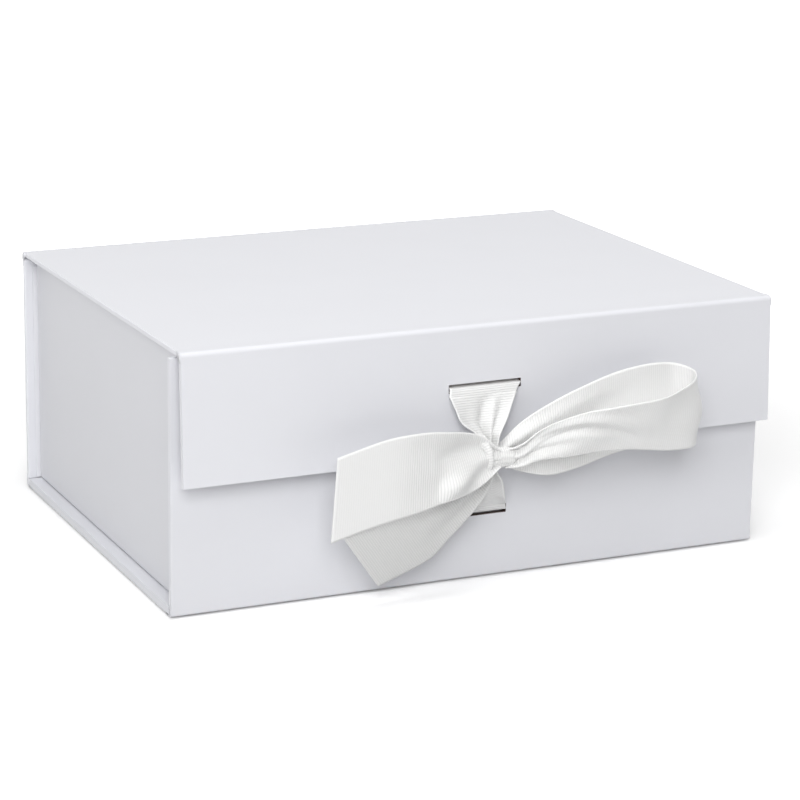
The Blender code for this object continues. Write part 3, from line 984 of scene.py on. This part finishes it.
def strand(name, path, side, matrix=None):
    """One strand of ribbon, which gathers into folds towards the knot.

    Its edges droop back to the board. side is the sign that turns its folds
    outwards.
    """
    sections = []
    for middle, share, way, room in path:
        depth = STRAND_FOLD * math.sin(math.pi * min(way * 1.15, 1.0)) ** 0.8
        crimp = STRAND_CRIMP * min(way * 1.3, 1.0) ** 2
        droop = min(max(room - STRAND_AIR, 0.0), STRAND_DROOP)
        droop *= min(1.0, (1.05 - way) / 0.4)

        # A ridge beside a valley, fine crimps, and edges that hang lower
        def fold(s, depth=depth, crimp=crimp, droop=droop):
            ridge = math.exp(-(((s - 0.02) / 0.09) ** 2))
            valley = math.exp(-(((s - 0.20) / 0.07) ** 2))
            lift = depth * (ridge - 0.9 * valley) - droop * (2 * abs(s)) ** 2.5
            return side * (lift + crimp * math.cos(6 * math.pi * s))

        sections.append((middle, Vector((1, 0, 0)), share, fold))
    piece, length = ribbon_mesh(name, sections, strips=40)
    if matrix is not None:
        piece.data.transform(matrix)
    # The strands' slightly lower tone is painted shade
    piece.data.materials.append(ribbon_material(name + "_weave", shade_tone=0.95))
    return piece, length


# Operators


class GIFTBOX_OT_finishes(bpy.types.Operator):
    """Build the shared effects of paper and ribbon"""

    bl_idname = "giftbox.finishes"
    bl_label = "Shared effects"

    def execute(self, context):
        for name, build in (
            ("Paper grain", make_paper_grain),
            ("Edge rub", make_painted_edge_highlight),
            ("Grosgrain", make_grosgrain),
        ):
            if name not in bpy.data.node_groups:
                build(name)
        return {"FINISHED"}


def slot_space(height):
    """Two corners of the space round a ribbon slot, right through its board."""
    spare = 0.00005
    return tuple(
        (
            SLOT_OFFSET + sign * (SLOT_LENGTH / 2 + spare),
            sign * 1.0,
            height + sign * (SLOT_HEIGHT / 2 + spare),
        )
        for sign in (-1, 1)
    )


class GIFTBOX_OT_boards(bpy.types.Operator):
    """Wrap the boards of the case, lid, flap and side walls in white paper"""

    bl_idname = "giftbox.boards"
    bl_label = "Wrapped boards"

    def execute(self, context):
        colour = tuple(context.scene.gift_box_paper.wrap_colour)
        # The side walls' paper is painted darker: painted shade on the side walls
        side_wall_shaded = shade(colour, SIDE_WALL_SHADE)
        lid = joint_frame("lid_hinge")
        flap = joint_frame("flap_hinge", FLAP_LEAN)
        for node, paper, matrix, slot in (
            ("base_panel", colour, None, None),
            ("back_panel", colour, None, None),
            ("front_panel", colour, None, slot_space(WALL_SLOT_HEIGHT)),
            ("lid_panel", colour, lid, None),
            ("flap_panel", colour, flap, slot_space(-FLAP_SLOT_DROP)),
            ("left_side_wall", side_wall_shaded, None, None),
            ("right_side_wall", side_wall_shaded, None, None),
        ):
            low, high = own_corners(node, matrix)
            material = paper_material(node + "_paper", paper, low, high, matrix, slot)
            dress(node, material)
        return {"FINISHED"}


class GIFTBOX_OT_inner_papers(bpy.types.Operator):
    """Give the inner papers and the floor card their plain white paper"""

    bl_idname = "giftbox.inner_papers"
    bl_label = "Inner papers"

    def execute(self, context):
        colour = tuple(context.scene.gift_box_paper.inner_colour)
        for node in (
            "floor_card",
            "front_wall_liner",
            "back_wall_liner",
            "lid_liner",
            "flap_liner",
        ):
            low, high = own_corners(node)
            material = paper_material(node + "_paper", colour, low, high, rough=0.6)
            dress(node, material)
        return {"FINISHED"}


class GIFTBOX_OT_corner_tabs(bpy.types.Operator):
    """Finish the corner tabs as white card and their tape as a yellowish film"""

    bl_idname = "giftbox.corner_tabs"
    bl_label = "Corner tabs and tape"

    def execute(self, context):
        card = plain_material("tab_card", CARD_COLOUR, rough=0.6)
        tape = plain_material("adhesive_film", TAPE_COLOUR, rough=0.3, depth=0.00002)
        for side in ("left", "right"):
            for end in ("front", "rear"):
                dress(f"{side}_{end}_corner_tab", card)
                dress(f"{side}_{end}_adhesive", tape)
        return {"FINISHED"}


class GIFTBOX_OT_magnets(bpy.types.Operator):
    """Finish the magnets as plated steel"""

    bl_idname = "giftbox.magnets"
    bl_label = "Magnets"

    def execute(self, context):
        steel = plain_material("plated_steel", STEEL_COLOUR, rough=0.34, metallic=1.0)
        for part in ("front", "flap"):
            for side in ("left", "right"):
                dress(f"{part}_magnet_{side}", steel)
        return {"FINISHED"}


def corner_paper(name, corners, first, second, bend):
    """A strip of paper bent round a corner line, lapping over the two panels.

    corners are the line's two ends. first and second give at each end the way
    that the paper runs from the corner, and how far. bend is the corner's
    radius. At both of its ends the paper's turn-in covers the boards as far as
    cover. The strip's lapping edges are sunk below the panels' faces.
    """
    steps = 12
    rim = 0.0002
    sunk = 0.00002
    cover = 0.0032
    outer = bend + CREASE_PROUD
    shape = bmesh.new()
    rows = []
    # Places close to every end keep the shading even right up to it
    ways = [0.0, rim, *[k / 24 for k in range(1, 24)], 1.0 - rim, 1.0]
    for way in ways:
        corner = corners[0].lerp(corners[1], way)
        u = first[0].lerp(first[1], way)
        v = second[0].lerp(second[1], way)
        reach_u, reach_v = u.length, v.length
        u.normalize()
        v.normalize()
        profile = [
            (reach_u, sunk),
            (reach_u - rim, sunk / 2),
            (bend + rim, -CREASE_PROUD),
        ]
        for i in range(steps + 1):
            turn = math.pi / 2 * i / steps
            profile.append(
                (bend - outer * math.sin(turn), bend - outer * math.cos(turn))
            )
        profile += [
            (-CREASE_PROUD, bend + rim),
            (sunk / 2, reach_v - rim),
            (sunk, reach_v),
        ]
        rows.append([shape.verts.new(corner + u * a + v * b) for a, b in profile])
        if way in (ways[1], ways[-2]):
            outline = [(cover, 0.0), *profile[3:-3], (0.0, cover)]
            outline += [(BOARD, cover), (BOARD, BOARD), (cover, BOARD)]
            shape.faces.new(
                [shape.verts.new(corner + u * a + v * b) for a, b in outline]
            )
    for k in range(len(rows) - 1):
        for i in range(len(rows[0]) - 1):
            shape.faces.new(
                (rows[k][i], rows[k][i + 1], rows[k + 1][i + 1], rows[k + 1][i])
            )
    bmesh.ops.recalc_face_normals(shape, faces=shape.faces[:])
    piece = new_piece(name, shape)
    thicken(piece, CREASE_PAPER, -1.0)
    colour = tuple(bpy.context.scene.gift_box_paper.wrap_colour)
    finish = name.removesuffix("_paper") + "_paper"
    piece.data.materials.append(paper_material(finish, colour))
    return piece


class GIFTBOX_OT_base_creases(bpy.types.Operator):
    """Bend the wrap paper round the two lower corners of the case"""

    bl_idname = "giftbox.base_creases"
    bl_label = "Base creases"

    def execute(self, context):
        for name, node, side in (
            ("base_front_fold", "base_front_crease", 1),
            ("base_rear_fold", "base_rear_crease", -1),
        ):
            low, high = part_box(node)
            y = low.y if side > 0 else high.y
            corners = (Vector((low.x, y, low.z)), Vector((high.x, y, low.z)))
            inward = Vector((0, side * BASE_LAP, 0))
            upward = Vector((0, 0, CREASE_LAP))
            paper = corner_paper(
                name, corners, (inward, inward), (upward, upward), BASE_BEND
            )
            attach(paper, "case")
            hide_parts(node)
        return {"FINISHED"}


def fold_line(place):
    """The two ends of a hinge's line, which is as long as the back wall."""
    low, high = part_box("back_panel")
    half = (high.x - low.x) / 2
    return [place @ Vector((x, 0, 0)) for x in (-half, half)]


class GIFTBOX_OT_hinges(bpy.types.Operator):
    """Make the crease papers of the lid and the flap"""

    bl_idname = "giftbox.hinges"
    bl_label = "Lid and flap creases"

    def execute(self, context):
        self.lid_hinge()
        self.flap_hinge()
        return {"FINISHED"}

    def lid_hinge(self):
        """The paper from the back wall over to the lid."""
        place = joint_frame("lid_hinge")
        corners = fold_line(place)
        over_lid = place.to_3x3() @ Vector((0, -CREASE_LAP, 0))
        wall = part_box("back_panel")[1]
        down = [Vector((c.x, wall.y + 0.00002, wall.z - 0.003)) - c for c in corners]
        paper = corner_paper(
            "lid_hinge_paper", corners, (over_lid, over_lid), down, LID_BEND
        )
        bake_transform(paper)
        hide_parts("lid_rear_crease")

    def flap_hinge(self):
        """The paper from the lid down over the flap."""
        place = joint_frame("flap_hinge")
        flap = joint_frame("flap_hinge", FLAP_LEAN)
        corners = fold_line(place)
        over_lid = place.to_3x3() @ Vector((0, CREASE_LAP, 0))
        down = flap.to_3x3() @ Vector((0, 0, -CREASE_LAP))
        paper = corner_paper(
            "flap_hinge_paper", corners, (over_lid, over_lid), (down, down), FLAP_BEND
        )
        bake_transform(paper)
        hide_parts("lid_front_crease")


class GIFTBOX_OT_strands(bpy.types.Operator):
    """Make the two ribbon strands that come out of the slots"""

    bl_idname = "giftbox.strands"
    bl_label = "Ribbon strands"

    def execute(self, context):
        flap = joint_frame("flap_hinge", FLAP_LEAN)
        path = strand_path(
            slot=(SLOT_OFFSET, -FLAP_SLOT_DROP),
            outer=0.0,
            inner=BOARD + LINER,
            glue_up=1,
            knot=KNOT_PLACE + KNOT_ENTRY,
            rows=UPPER_STRAND_ROWS,
        )
        upper, length = strand("flap_ribbon_strand", path, side=1, matrix=flap)
        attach(upper, "flap")
        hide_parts("flap_ribbon")
        path = strand_path(
            slot=(SLOT_OFFSET, WALL_SLOT_HEIGHT),
            outer=WALL_FACE,
            inner=WALL_FACE + BOARD + LINER,
            glue_up=-1,
            knot=flap @ (KNOT_PLACE + KNOT_ENTRY),
            rows=LOWER_STRAND_ROWS,
        )
        lower, length = strand("wall_ribbon_strand", path, side=-1)
        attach(lower, "case")
        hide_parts("wall_ribbon")
        return {"FINISHED"}


class GIFTBOX_OT_knot(bpy.types.Operator):
    """Make the knot with the wraps of gathered ribbon round it"""

    bl_idname = "giftbox.knot"
    bl_label = "Knot"

    def execute(self, context):
        shape = bmesh.new()
        layer = shape.loops.layers.uv.new("Ribbon")
        wrap_tube(shape, layer, UPRIGHT_WRAP_ROWS, pleats=7)
        wrap_tube(shape, layer, LEVEL_WRAP_ROWS, pleats=11)
        knot = new_piece("bow_knot_wraps", shape)
        knot.data.transform(joint_frame("flap_hinge", FLAP_LEAN))
        knot.data.materials.append(ribbon_material("bow_knot_weave"))
        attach(knot, "flap")
        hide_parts("bow_knot")
        return {"FINISHED"}


def wrap_tube(shape, layer, rows, pleats):
    """Add one wrap of the knot: tightly gathered ribbon along a short curve.

    pleats is how many crimps it has round it. They drift a little along it.
    """
    places = [Vector((right, -out, up)) * MM for right, up, out, _ in rows]
    radii = [Vector((row[3] * MM, 0, 0)) for row in rows]
    sides, steps = 48, 12
    crimp_depth, flatness, pattern_width = 0.045, 0.85, 0.02
    count = steps * (len(rows) - 1) + 1
    middles = [spline(places, i / steps) for i in range(count)]
    rings = []
    travelled = [0.0]
    for i, middle in enumerate(middles):
        along = middles[min(i + 1, count - 1)] - middles[max(i - 1, 0)]
        along.normalize()
        sideways = along.cross(Vector((0, -1, 0))).normalized()
        outwards = sideways.cross(along)
        if i:
            travelled.append(travelled[-1] + (middle - middles[i - 1]).length)
        # Both ends of a wrap are drawn in
        end = min(i, count - 1 - i) / steps
        swell = min(1.0, 0.35 + 0.65 * min(end, 1.0) ** 0.5)
        radius = spline(radii, i / steps).x * swell
        ring = []
        for k in range(sides):
            angle = 2 * math.pi * k / sides
            drift = 0.8 * math.sin(i / 9)
            crimp = 1 + crimp_depth * math.cos(pleats * angle + drift)
            point = KNOT_PLACE + middle
            point += sideways * (radius * crimp * math.cos(angle))
            point += outwards * (flatness * radius * crimp * math.sin(angle))
            ring.append(shape.verts.new(point))
        rings.append(ring)
    for i in range(count - 1):
        for k in range(sides):
            n = (k + 1) % sides
            face = shape.faces.new(
                (rings[i][k], rings[i][n], rings[i + 1][n], rings[i + 1][k])
            )
            uvs = ((k, i), (k + 1, i), (k + 1, i + 1), (k, i + 1))
            for loop, (a, b) in zip(face.loops, uvs):
                loop[layer].uv = ((a / sides - 0.5) * pattern_width, travelled[b])
    shape.faces.new(list(reversed(rings[0])))
    shape.faces.new(rings[-1])
    bmesh.ops.recalc_face_normals(shape, faces=shape.faces[:])


class GIFTBOX_OT_loop(bpy.types.Operator):
    """Make the bow's one loop"""

    bl_idname = "giftbox.loop"
    bl_label = "Bow loop"

    def execute(self, context):
        bow_ribbon(
            "bow_loop_ribbon",
            "bow_loop",
            LOOP_ROWS,
            LOOP_PLEATS,
            steps=14,
            shade_tone=1.0,
            smooth=(0.030, 0.050, 0.5, 0.156),
        )
        return {"FINISHED"}


class GIFTBOX_OT_tails(bpy.types.Operator):
    """Make the bow's two tails with their cut ends"""

    bl_idname = "giftbox.tails"
    bl_label = "Bow tails"

    def execute(self, context):
        # The tails' tones below 1 are painted shade, deepest on the rear tail under
        # the front tail
        bow_ribbon(
            "bow_front_tail_ribbon",
            "bow_front_tail",
            FRONT_TAIL_ROWS,
            FRONT_TAIL_PLEATS,
            steps=16,
            shade_tone=0.97,
            smooth=(0.030, 0.045, 0.3, 1.0),
        )
        bow_ribbon(
            "bow_rear_tail_ribbon",
            "bow_rear_tail",
            REAR_TAIL_ROWS,
            REAR_TAIL_PLEATS,
            steps=16,
            shade_tone=0.88,
            smooth=(0.010, 0.030, 0.75, 1.0),
        )
        return {"FINISHED"}


class GIFTBOX_OT_stage(bpy.types.Operator):
    """Set the pale floor, the soft light and the camera"""

    bl_idname = "giftbox.stage"
    bl_label = "Floor, light and camera"

    def execute(self, context):
        make_floor()
        make_sky()
        make_lamps()
        make_camera()
        context.scene.view_settings.view_transform = "Standard"
        return {"FINISHED"}


def seen_ray(tree):
    """1 for what the camera sees, straight, in gloss or through glass."""
    path = add_node(tree, "ShaderNodeLightPath").outputs
    seen = maths(tree, "MAXIMUM", path["Is Camera Ray"], path["Is Glossy Ray"])
    return maths(tree, "MAXIMUM", seen, path["Is Transmission Ray"])


def make_floor():
    """A wide pale floor that shows white and keeps the object's shadow."""
    settings = bpy.context.scene.gift_box_stage
    shape = bmesh.new()
    bmesh.ops.create_grid(shape, x_segments=1, y_segments=1, size=6.0)
    floor = new_piece("floor", shape)
    floor.location.z = -UNDER_BOX_GAP
    material = bpy.data.materials.new("floor")
    tree = clear_tree(material)
    seen = seen_ray(tree)
    colour = mix_colour(tree, seen, tuple(settings.floor_colour), SEEN_FLOOR)
    matt = add_node(tree, "ShaderNodeBsdfDiffuse", {"Color": colour})
    place = add_node(tree, "ShaderNodeTexCoord").outputs["Object"]
    away = add_node(tree, "ShaderNodeVectorMath", {0: place}, operation="LENGTH")
    # It glows fully only where no shadow falls
    fade = ramp(tree, away.outputs["Value"], *FLOOR_GLOW)
    strength = maths(tree, "MULTIPLY", seen, fade)
    glow = add_node(tree, "ShaderNodeEmission", {"Strength": strength})
    both = add_node(
        tree, "ShaderNodeAddShader", {0: matt.outputs[0], 1: glow.outputs[0]}
    )
    add_node(tree, "ShaderNodeOutputMaterial", {"Surface": both.outputs[0]})
    floor.data.materials.append(material)


def make_sky():
    """Even light all round, seen as white."""
    world = bpy.data.worlds.new("sky")
    bpy.context.scene.world = world
    tree = clear_tree(world)
    strength = mix_value(
        tree, seen_ray(tree), bpy.context.scene.gift_box_stage.sky, 1.0
    )
    white = {"Color": (1.0, 1.0, 1.0, 1.0), "Strength": strength}
    background = add_node(tree, "ShaderNodeBackground", white)
    add_node(tree, "ShaderNodeOutputWorld", {"Surface": background.outputs[0]})


def make_lamps():
    """Three large, square, soft lamps: in front, at the left and overhead."""
    for name, place, size in LAMPS:
        light = bpy.data.lights.new(name + "_lamp", "AREA")
        light.shape = "SQUARE"
        light.size = size
        light.energy = getattr(bpy.context.scene.gift_box_stage, name)
        lamp = bpy.data.objects.new(name + "_lamp", light)
        bpy.context.scene.collection.objects.link(lamp)
        lamp.location = place
        away = Vector(place) - Vector(LAMP_TARGET)
        lamp.rotation_euler = away.to_track_quat("Z", "Y").to_euler()


def make_camera():
    """The camera, at the picture's viewpoint."""
    data = bpy.data.cameras.new("camera")
    data.lens = CAMERA_LENS
    data.sensor_width = 36.0
    data.clip_start = 0.05
    data.clip_end = 30.0
    camera = bpy.data.objects.new("camera", data)
    bpy.context.scene.collection.objects.link(camera)
    yaw, pitch, roll = (math.radians(angle) for angle in CAMERA_TURN)
    ahead = Vector(
        (
            math.sin(yaw) * math.cos(pitch),
            math.cos(yaw) * math.cos(pitch),
            -math.sin(pitch),
        )
    )
    right = Vector((math.cos(yaw), -math.sin(yaw), 0.0))
    down = ahead.cross(right)
    level_right = right * math.cos(roll) + down * math.sin(roll)
    level_down = down * math.cos(roll) - right * math.sin(roll)
    axes = Matrix((level_right, -level_down, -ahead)).transposed()
    camera.matrix_world = Matrix.Translation(CAMERA_PLACE) @ axes.to_4x4()
    bpy.context.scene.camera = camera


class GIFTBOX_PT_panel(bpy.types.Panel):
    """The steps of the gift box, in order"""

    bl_idname = "GIFTBOX_PT_panel"
    bl_label = "Gift box"
    bl_space_type = "VIEW_3D"
    bl_region_type = "UI"
    bl_category = "Gift box"

    def draw(self, context):
        scene = context.scene
        for settings in (
            scene.gift_box_paper,
            scene.gift_box_ribbon,
            scene.gift_box_stage,
        ):
            box = self.layout.box()
            for name in settings.bl_rna.properties.keys():
                if name not in ("rna_type", "name"):
                    box.prop(settings, name)
        for operator in STEPS:
            self.layout.operator(operator.bl_idname)


SETTINGS = (PaperSettings, RibbonSettings, StageSettings)
STEPS = (
    GIFTBOX_OT_stage,
    GIFTBOX_OT_finishes,
    GIFTBOX_OT_boards,
    GIFTBOX_OT_inner_papers,
    GIFTBOX_OT_corner_tabs,
    GIFTBOX_OT_magnets,
    GIFTBOX_OT_base_creases,
    GIFTBOX_OT_hinges,
    GIFTBOX_OT_knot,
    GIFTBOX_OT_strands,
    GIFTBOX_OT_loop,
    GIFTBOX_OT_tails,
)


def register():
    for made in (*SETTINGS, *STEPS, GIFTBOX_PT_panel):
        bpy.utils.register_class(made)
    bpy.types.Scene.gift_box_paper = PointerProperty(type=PaperSettings)
    bpy.types.Scene.gift_box_ribbon = PointerProperty(type=RibbonSettings)
    bpy.types.Scene.gift_box_stage = PointerProperty(type=StageSettings)


def unregister():
    del bpy.types.Scene.gift_box_paper
    del bpy.types.Scene.gift_box_ribbon
    del bpy.types.Scene.gift_box_stage
    for made in reversed((*SETTINGS, *STEPS, GIFTBOX_PT_panel)):
        bpy.utils.unregister_class(made)


def main():
    """Build every piece in order."""
    register()
    for step in STEPS:
        group, name = step.bl_idname.split(".")
        getattr(getattr(bpy.ops, group), name)()


if __name__ == "__main__":
    main()
